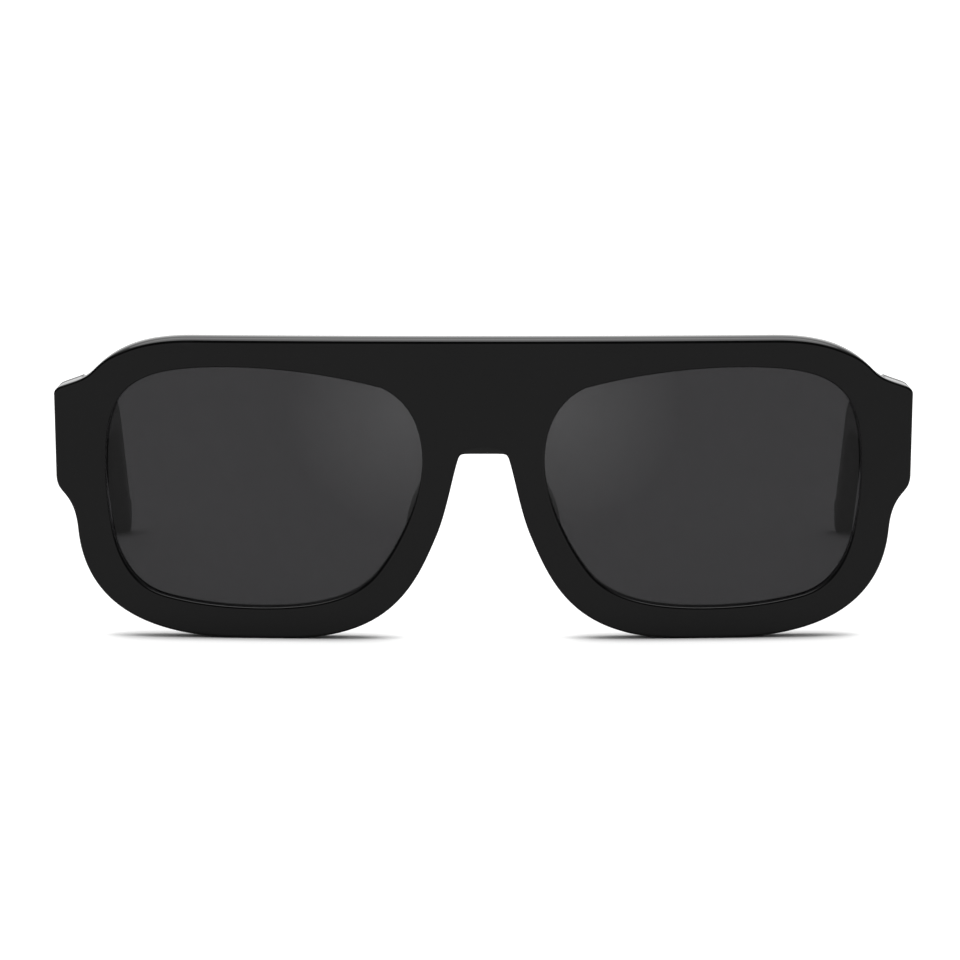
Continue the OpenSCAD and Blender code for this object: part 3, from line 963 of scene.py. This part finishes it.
class SUNGLASSES_OT_lenses(Operator):
    """Builds the two wrapped smoke lenses in their grooves"""

    bl_idname = "sunglasses.lenses"
    bl_label = "Build Lenses"

    def execute(self, context):
        s = measured(context.scene)
        points = lens_opening(s, 24)
        centre = complex(s.lens_mid, s.rim_low + s.lens_h / 2)
        back = s.lens_set + s.lens_t
        profiles = []
        for point, out in zip(points, normals(points)):
            edge = point + out * s.groove_d
            brink = point + out * (s.groove_d - s.bevel)
            across = [centre + (brink - centre) * i / 10 for i in range(11)]
            profile = [layered(s, p, s.lens_set) for p in across]
            profile += [layered(s, edge, s.lens_set + s.bevel), layered(s, edge, back - s.bevel)]
            profile += [layered(s, p, back) for p in reversed(across)]
            profiles.append(profile)
        for name, side in SIDES.items():
            rings = [[placed(s, p, side) for p in profile] for profile in profiles]
            lens = ringed(f"{name}_smoke_lens", rings, smoke_glass(), around=False)
            carried(lens, "front", f"{name}_lens")
        return {"FINISHED"}


class SUNGLASSES_OT_pads(Operator):
    """Builds the two drop-shaped pads on the back of the rims beside the nose"""

    bl_idname = "sunglasses.pads"
    bl_label = "Build Nose Pads"

    def execute(self, context):
        s = measured(context.scene)
        shares = ((-2.5, 0.5), (-1.9, 0.24), (-0.6, -0.12), (2.2, -0.48))
        hold = [complex(s.lens_in + x, s.pad_z + part * s.pad_l) for x, part in shares]
        last = 36
        around = 28
        spine = [*curve(*hold, last), hold[-1]]
        profiles = []
        for i, (point, out) in enumerate(zip(spine, normals(spine, closed=False))):
            swell = max(0.0, math.sin(math.pi * (i / last) ** 1.25))
            width = s.pad_w / 2 * swell**0.55
            reach = s.pad_out * swell**0.8
            profile = []
            for k in range(around):
                a = 2 * math.pi * k / around
                wide = math.copysign(abs(math.cos(a)) ** 0.85, math.cos(a))
                deep = max(0.0, math.sin(a)) ** 0.9 * reach
                profile.append(layered(s, point + out * (width * wide + 0.22 * deep), s.front_t, deep))
            profiles.append(profile)
        for name, side in SIDES.items():
            rings = [[placed(s, p, side) for p in profile] for profile in profiles]
            pad = ringed(f"{name}_drop_pad", rings, pad_plastic(), sharp=50, along=False)
            carried(pad, "front", f"{name}_nose_pad")
        return {"FINISHED"}


# The temples


def temple_section(s, upper, lower, up, down, inset=0.0):
    """One closed section of a temple between a point of its upper and of its lower edge."""
    late = clamped((upper.real - s.bend_u) / (s.tip_u - s.bend_u)) * max(0, up.imag) ** 2
    edge = s.side_r - inset
    soft = edge + (s.tip_soft - s.side_r) * late
    deep = edge + (s.tip_deep - s.side_r) * late
    outer = s.axis_in + s.temple_t - inset
    section = []

    def put(x, point):
        section.append((x, point.real, point.imag))

    def put_inner(point, more=0.0):
        x = s.axis_in + (s.temple_t - s.tip_t) * clamped(point.real / s.bend_u) + inset
        put(x + more, point)

    top = upper - up * soft
    low = lower - down * edge
    put(outer, top)
    for point in face_run(top, low):
        put(outer, point)
    for inward, drop in reversed(rounding()):
        put(outer - edge * drop, lower - down * edge * inward)
    for inward, drop in rounding():
        put_inner(lower - down * edge * inward, edge * drop)
    for point in face_run(low, top):
        put_inner(point)
    for inward, drop in reversed(rounding()):
        put_inner(upper - up * soft * inward, deep * drop)
    for inward, drop in rounding()[:-1]:
        put(outer - deep * drop, upper - up * soft * inward)
    return section


class SUNGLASSES_OT_temples(Operator):
    """Builds the two temples, from the flat butt round the ear bend to the round tip"""

    bl_idname = "sunglasses.temples"
    bl_label = "Build Temples"

    def execute(self, context):
        s = measured(context.scene)
        upper, lower = temple_edges(s, 14)
        up = normals(upper, closed=False)
        down = [-n for n in normals(lower, closed=False)]
        up[-1] = down[-1] = 1
        ease = s.butt_r
        sections = [
            temple_section(s, upper[0] - 1j * ease, lower[0] + 1j * ease, up[0], down[0], ease),
            temple_section(s, upper[0] + ease, lower[0] + ease, up[0], down[0]),
        ]
        for station in zip(upper[1:], lower[1:], up[1:], down[1:]):
            sections.append(temple_section(s, *station))
        half = s.plate_h / 2 + PLATE_GAP
        floor_x = s.axis_in - s.plate_proud + s.plate_t + PLATE_GAP
        recess = box_points(
            (0, s.plate_u - PLATE_GAP, -half), (floor_x, s.plate_u + s.plate_l + PLATE_GAP, half)
        )
        for name, side in SIDES.items():
            bm = bmesh.new()
            rings = [[hinged(s, p, side) for p in section] for section in sections]
            verts = ring_sheet(bm, rings, along=False)
            bm.faces.new(verts[0])
            temple = finished(f"{name}_arm", bm, acetate())
            cut_out(temple, [[hinged(s, p, side) for p in recess]])
            carried(temple, f"{name}_temple", f"{name}_temple")
        return {"FINISHED"}


# Geometry node trees


def metres(value):
    """A count as it is, and a length or a point in millimetres turned into metres."""
    if isinstance(value, tuple):
        return tuple(c * MM for c in value)
    return value if isinstance(value, int) else value * MM


def shape_tree(name, values, **shapes):
    """A geometry tree whose inputs have these values in millimetres to start with."""
    inputs = shapes | {key: metres(value) for key, value in values.items()}
    return node_group(name, "GeometryNodeTree", inputs, {"Geometry": SHAPE})


def tree_end(build, leave, shape, material):
    """Every tree ends in real geometry with its material on."""
    real = build.out("GeometryNodeRealizeInstances", {"Geometry": shape})
    dressed = build.out("GeometryNodeSetMaterial", {"Geometry": real, "Material": material})
    build.feed(leave, {"Geometry": dressed})


def swept(build, path, profile, caps=True):
    inputs = {"Curve": path, "Profile Curve": profile, "Fill Caps": caps}
    return build.out("GeometryNodeCurveToMesh", inputs)


def circle(build, resolution, radius):
    inputs = {"Resolution": resolution, "Radius": radius}
    return build.out("GeometryNodeCurvePrimitiveCircle", inputs)


def soft_bar(build, width, height, edge, path, caps=True):
    """A bar with rounded long edges that follows a path."""
    flat = build.out(
        "GeometryNodeCurvePrimitiveQuadrilateral", {"Width": width, "Height": height}
    )
    soft = build.out(
        "GeometryNodeFilletCurve",
        {"Curve": flat, "Count": 4, "Radius": edge, "Limit Radius": True},
        mode="POLY",
    )
    return swept(build, path, soft, caps)


def repeated(build, shape, count, start, step):
    """A shape repeated in even steps along a straight row."""
    row = build.out(
        "GeometryNodeMeshLine", {"Count": count, "Start Location": start, "Offset": step}
    )
    return build.out("GeometryNodeInstanceOnPoints", {"Points": row, "Instance": shape})


def knuckle_tree(values, material):
    """Knuckles with their webs, repeated along the screw."""
    tree, build, size, leave = shape_tree("Knuckle Stack", values)
    wall = build.math("SUBTRACT", size["Radius"], size["Bore"])
    both = build.math("ADD", size["Radius"], size["Bore"])
    path = circle(build, 56, build.math("MULTIPLY", both, 0.5))
    ring = soft_bar(build, size["Height"], wall, size["Edge"], path, caps=False)
    run = build.out(
        "GeometryNodeCurvePrimitiveLine", {"Start": size["Web Start"], "End": size["Web End"]}
    )
    web = soft_bar(build, size["Height"], size["Web Width"], size["Edge"], run)
    knuckle = build.add("GeometryNodeJoinGeometry")
    for part in (ring, web):
        build.feed(knuckle, {0: part})
    start = build.out("ShaderNodeCombineXYZ", {"Z": size["First Height"]})
    step = build.out("ShaderNodeCombineXYZ", {"Z": size["Pitch"]})
    stack = repeated(build, knuckle.outputs[0], size["Count"], start, step)
    tree_end(build, leave, stack, material)
    return tree


def peg_tree(values, material):
    """Round anchor pegs, repeated along a plate."""
    tree, build, size, leave = shape_tree("Anchor Pegs", values)
    run = build.out("GeometryNodeCurvePrimitiveLine", {"End": size["Peg"]})
    peg = swept(build, run, circle(build, 32, size["Radius"]))
    pegs = repeated(build, peg, size["Count"], size["First"], size["Step"])
    tree_end(build, leave, pegs, material)
    return tree


def wire_tree(values, material):
    """A flat wire with rounded edges that follows the path it is given."""
    tree, build, size, leave = shape_tree("Core Wire", values, Path=SHAPE)
    path = build.out("GeometryNodeMeshToCurve", {"Mesh": size["Path"]})
    wire = soft_bar(build, size["Thickness"], size["Height"], size["Edge"], path)
    tree_end(build, leave, wire, material)
    return tree


def grown_mesh(tree, values, path=()):
    """The plain mesh that a tree gives with these values and path, in millimetres."""
    base = bpy.data.meshes.new("base")
    base.from_pydata([metres(p) for p in path], [(i - 1, i) for i in range(1, len(path))], [])
    carrier = link(bpy.data.objects.new("carrier", base))
    modifier = carrier.modifiers.new("Shape", "NODES")
    modifier.node_group = tree
    for item in tree.interface.items_tree:
        if item.item_type == "SOCKET" and item.in_out == "INPUT" and item.name in values:
            modifier[item.identifier] = metres(values[item.name])
    graph = bpy.context.evaluated_depsgraph_get()
    mesh = bpy.data.meshes.new_from_object(carrier.evaluated_get(graph))
    bpy.data.objects.remove(carrier)
    if not mesh.vertices:
        raise RuntimeError(f"the tree {tree.name} gave no mesh")
    return mesh


# The hinges, their screws and the core wires


# How far webs and pegs run into a plate, in millimetres.
BURIED = 0.1


def soft_box(low, high, edge):
    """A box with rounded edges, from its lowest to its highest corner in millimetres."""
    bm = bmesh.new()
    bmesh.ops.create_cube(bm, size=1)
    for v in bm.verts:
        v.co = Vector([lo if c < 0 else hi for c, lo, hi in zip(v.co, low, high)]) * MM
    bmesh.ops.bevel(
        bm, geom=bm.edges[:], offset=edge * MM, segments=3, profile=0.5, affect="EDGES"
    )
    return bm


def hinge_piece(s, name, side, bm, meshes, material):
    """Joins the parts of a hinge half and moves them from the hinge's frame into place."""
    for mesh in meshes:
        bm.from_mesh(mesh)
        bpy.data.meshes.remove(mesh)
    for v in bm.verts:
        v.co = hinged(s, v.co / MM, side)
    return finished(name, bm, material)


class SUNGLASSES_OT_hinges(Operator):
    """Builds the front and temple halves of the two five-knuckle hinges"""

    bl_idname = "sunglasses.hinges"
    bl_label = "Build Hinges"

    def execute(self, context):
        s = measured(context.scene)
        steel = metal("steel")
        count = s.knuckle_pieces // 2
        first = (s.knuckle_h - s.stack) / 2
        wall = (s.screw_r + s.knuckle_r) / 2
        half_h = s.plate_h / 2
        foot_end = -s.foot_y - s.foot_t
        foot_peg = half_h - 2 * s.peg_r
        plate_x = s.axis_in - s.plate_proud
        plate_end = s.plate_u + s.plate_l
        knuckle = {
            "Pitch": 2 * s.pitch,
            "Radius": s.knuckle_r,
            "Bore": s.screw_r + s.screw_gap,
            "Height": s.knuckle_h,
            "Edge": s.edge,
        }
        front_knuckles = knuckle | {
            "Count": count + 1,
            "First Height": first,
            "Web Width": s.web_w,
            "Web Start": (0, -s.foot_y - BURIED, 0),
            "Web End": (0, -wall, 0),
        }
        front_pegs = {
            "Count": 2,
            "First": (0, foot_end + BURIED, -foot_peg),
            "Step": (0, 0, 2 * foot_peg),
            "Peg": (0, -s.peg_l - BURIED, 0),
            "Radius": s.peg_r,
        }
        temple_knuckles = knuckle | {
            "Count": count,
            "First Height": first + s.pitch,
            "Web Width": 2 * s.edge + 0.8,
            "Web Start": (wall, 0.7, 0),
            "Web End": (plate_x + BURIED, s.web_l, 0),
        }
        temple_pegs = front_pegs | {
            "First": (plate_x + s.plate_t - BURIED, s.plate_u + s.peg_in, 0),
            "Step": (0, s.plate_l - 2 * s.peg_in, 0),
            "Peg": (s.peg_l + BURIED, 0, 0),
        }
        foot = (-s.foot_in, foot_end, -half_h), (s.foot_out, -s.foot_y, half_h)
        plate = (plate_x, s.plate_u, -half_h), (plate_x + s.plate_t, plate_end, half_h)
        knuckles = knuckle_tree(front_knuckles, steel)
        pegs = peg_tree(front_pegs, steel)

        def made(name, side, stack, anchors, box):
            meshes = [grown_mesh(knuckles, stack), grown_mesh(pegs, anchors)]
            return hinge_piece(s, name, side, soft_box(*box, s.edge), meshes, steel)

        for name, side in SIDES.items():
            piece = made(f"{name}_hinge_front", side, front_knuckles, front_pegs, foot)
            carried(piece, "front", f"{name}_front_hinge")
            piece = made(f"{name}_hinge_arm", side, temple_knuckles, temple_pegs, plate)
            carried(piece, f"{name}_temple", f"{name}_temple_hinge")
        return {"FINISHED"}


class SUNGLASSES_OT_screws(Operator):
    """Builds the slotted screws that pin the hinges"""

    bl_idname = "sunglasses.screws"
    bl_label = "Build Hinge Screws"

    def execute(self, context):
        s = measured(context.scene)
        top = s.stack / 2 + s.head_proud
        low = -s.stack / 2 - s.end_proud
        neck = top - s.head_h
        chamfer = 0.15
        around = 48
        outline = (
            (0, low),
            (s.screw_r - chamfer, low),
            (s.screw_r, low + chamfer),
            (s.screw_r, neck),
            (s.head_r, neck),
            (s.head_r, top - 0.12),
            (s.head_r - 0.05, top - 0.05),
            (s.head_r - 0.2, top),
            (0, top),
        )
        slot_z = top - s.head_h / 2
        slot = box_points(
            (-2 * s.head_r, -s.slot_w / 2, slot_z), (2 * s.head_r, s.slot_w / 2, top + 1)
        )
        for name, side in SIDES.items():
            rings = []
            for i in range(around):
                way = rect(1, 2 * math.pi * i / around)
                rings.append([hinged(s, (r * way.real, r * way.imag, z), side) for r, z in outline])
            screw = ringed(f"{name}_screw", rings, metal("screw"), around=False)
            cut_out(screw, [[hinged(s, p, side) for p in slot]])
            carried(screw, "front", f"{name}_hinge_screw")
        return {"FINISHED"}


class SUNGLASSES_OT_wires(Operator):
    """Builds the flat core wires inside the temples"""

    bl_idname = "sunglasses.wires"
    bl_label = "Build Core Wires"

    def execute(self, context):
        s = measured(context.scene)
        tip = complex(s.tip_u, -s.tip_drop)
        knee = complex(s.bend_u, s.wire_v)
        start = complex(s.joint_gap + s.wire_start, s.wire_v)
        end = tip + (knee - tip) / abs(knee - tip) * s.tip_r / 2
        bend = corner(start, knee, end, s.wire_bend_r, 14)
        points = straight(start, bend[0], 20) + bend + straight(bend[-1], end, 10)[1:] + [end]
        x = s.axis_in + s.temple_t - s.tip_t / 2
        path = [(x, p.real, p.imag) for p in points]
        values = {"Height": s.wire_h, "Thickness": s.wire_t, "Edge": s.wire_edge}
        steel = metal("wire")
        tree = wire_tree(values, steel)
        for name, side in SIDES.items():
            meshes = [grown_mesh(tree, values, path)]
            piece = hinge_piece(s, f"{name}_flat_wire", side, bmesh.new(), meshes, steel)
            carried(piece, f"{name}_temple", f"{name}_core_wire")
        return {"FINISHED"}


# The stage


def seen_ray(build):
    """One where a ray comes straight from the camera, off polish or through glass."""
    path = build.add("ShaderNodeLightPath").outputs
    first = build.math("MAXIMUM", path["Is Camera Ray"], path["Is Glossy Ray"])
    return build.math("MAXIMUM", first, path["Is Transmission Ray"])


def floor_material():
    """White paper that keeps a soft shadow and melts into the white behind it.

    Polish mirrors it darker, and its own glow fades close to the pieces that stand on it: a painted
    contact shadow drawn from ambient occlusion.
    """
    stage = bpy.context.scene.sunglasses_stage
    material, build, shader, where = new_material("White Paper")
    fibre = build.noise(where, 700.0, 3.0)
    paper = build.mixed(fibre, (0.79, 0.79, 0.79, 1), (0.81, 0.81, 0.81, 1))
    path = build.add("ShaderNodeLightPath").outputs
    mirrored = build.math("SUBTRACT", path["Is Glossy Ray"], path["Is Transmission Ray"])
    dimmed = build.math("MULTIPLY", mirrored, 1 - stage.floor_shine)
    # Ambient occlusion fades the glow next to the pieces: a painted contact shadow.
    near = build.add("ShaderNodeAmbientOcclusion", {"Distance": stage.contact}).outputs["AO"]
    bare = build.ramp(near, 0.5, 0.95, 0.0, stage.floor_glow)
    shown = build.math("SUBTRACT", seen_ray(build), dimmed)
    build.feed(shader, {
        "Base Color": build.mixed(dimmed, paper, (0, 0, 0, 1)),
        "Roughness": 0.9,
        "Specular IOR Level": 0.0,
        "Emission Color": (1, 1, 1, 1),
        "Emission Strength": build.math("MULTIPLY", shown, bare),
    })
    return material


def studio_world():
    """Soft white light from all round, with a dark room that only polish mirrors.

    The room is behind the camera and beside the object, and greyer at its foot.
    """
    stage = bpy.context.scene.sunglasses_stage
    white = (1, 1, 1, 1)
    world = bpy.data.worlds.new("Studio")
    world.use_nodes = True
    world.node_tree.nodes.clear()
    build = Builder(world.node_tree)
    mirrored = build.add("ShaderNodeLightPath").outputs["Is Glossy Ray"]
    way = build.add("ShaderNodeTexCoord").outputs["Generated"]
    parts = build.add("ShaderNodeSeparateXYZ", {0: way}).outputs
    # Each mask turns from nothing to full between two values of the way that a ray looks.
    ahead = build.ramp(parts["Y"], -0.2, -0.35)
    beside = build.ramp(build.math("ABSOLUTE", parts["X"]), 0.45, 0.65)
    below = build.ramp(parts["Z"], 0.99, 0.95)
    sill = build.ramp(parts["Z"], 0.1, 0.2)
    walls = build.math("MULTIPLY", build.math("MAXIMUM", ahead, beside), below)
    wall = build.mixed(sill, (*stage.skirt, 1), (*stage.room, 1))
    seen = build.mixed(build.math("MULTIPLY", walls, mirrored), white, wall)
    soft = build.out("ShaderNodeBackground", {"Color": white, "Strength": stage.ambient})
    shown = build.out("ShaderNodeBackground", {"Color": seen, "Strength": 1.0})
    both = build.out("ShaderNodeMixShader", {0: seen_ray(build), 1: soft, 2: shown})
    build.add("ShaderNodeOutputWorld", {"Surface": both})
    return world


class SUNGLASSES_OT_stage(Operator):
    """Sets up the white floor, the overhead lamp, the world and the camera"""

    bl_idname = "sunglasses.stage"
    bl_label = "Build Stage"

    def execute(self, context):
        scene = context.scene
        stage = scene.sunglasses_stage
        s = measured(scene)
        bm = bmesh.new()
        bmesh.ops.create_grid(bm, x_segments=2, y_segments=2, size=6)
        mesh = bpy.data.meshes.new("floor")
        bm.to_mesh(mesh)
        bm.free()
        mesh.materials.append(floor_material())
        link(bpy.data.objects.new("floor", mesh))

        lamp = bpy.data.lights.new("overhead", "SUN")
        lamp.angle = stage.key_angle
        lamp.energy = stage.key
        light = link(bpy.data.objects.new("overhead", lamp))
        light.rotation_euler = (-stage.key_lean, 0, 0)
        scene.world = studio_world()

        aim = placed(s, (0, 2, 0), 1)
        aim.x = stage.aim_x
        aim.z = stage.aim_z
        back = Vector((0, -math.cos(stage.elevation), math.sin(stage.elevation)))
        camera = link(bpy.data.objects.new("camera", bpy.data.cameras.new("camera")))
        camera.data.lens = stage.focal
        camera.data.sensor_width = 36
        camera.data.clip_start = 0.01
        camera.data.clip_end = 50
        camera.location = aim + back * stage.distance
        camera.rotation_euler = back.to_track_quat("Z", "Y").to_euler()
        scene.camera = camera
        scene.view_settings.view_transform = "Standard"
        return {"FINISHED"}


OPERATORS = (
    SUNGLASSES_OT_stage,
    SUNGLASSES_OT_front,
    SUNGLASSES_OT_lenses,
    SUNGLASSES_OT_pads,
    SUNGLASSES_OT_temples,
    SUNGLASSES_OT_hinges,
    SUNGLASSES_OT_screws,
    SUNGLASSES_OT_wires,
)


class SUNGLASSES_PT_panel(Panel):
    """Buttons for each piece and the sizes behind them"""

    bl_idname = "SUNGLASSES_PT_panel"
    bl_label = "Square Sunglasses"
    bl_space_type = "VIEW_3D"
    bl_region_type = "UI"
    bl_category = "Sunglasses"

    def draw(self, context):
        for operator in OPERATORS:
            self.layout.operator(operator.bl_idname)
        for attribute, group in ALL_GROUPS.items():
            box = self.layout.box()
            settings = getattr(context.scene, attribute)
            for name in group.__annotations__:
                box.prop(settings, name)


CLASSES = (*ALL_GROUPS.values(), *OPERATORS, SUNGLASSES_PT_panel)


def register():
    for kind in CLASSES:
        bpy.utils.register_class(kind)
    for attribute, group in ALL_GROUPS.items():
        setattr(bpy.types.Scene, attribute, PointerProperty(type=group))


def unregister():
    for attribute in ALL_GROUPS:
        delattr(bpy.types.Scene, attribute)
    for kind in reversed(CLASSES):
        bpy.utils.unregister_class(kind)


def main():
    register()
    for operator in OPERATORS:
        family, action = operator.bl_idname.split(".")
        getattr(getattr(bpy.ops, family), action)()


if __name__ == "__main__":
    main()
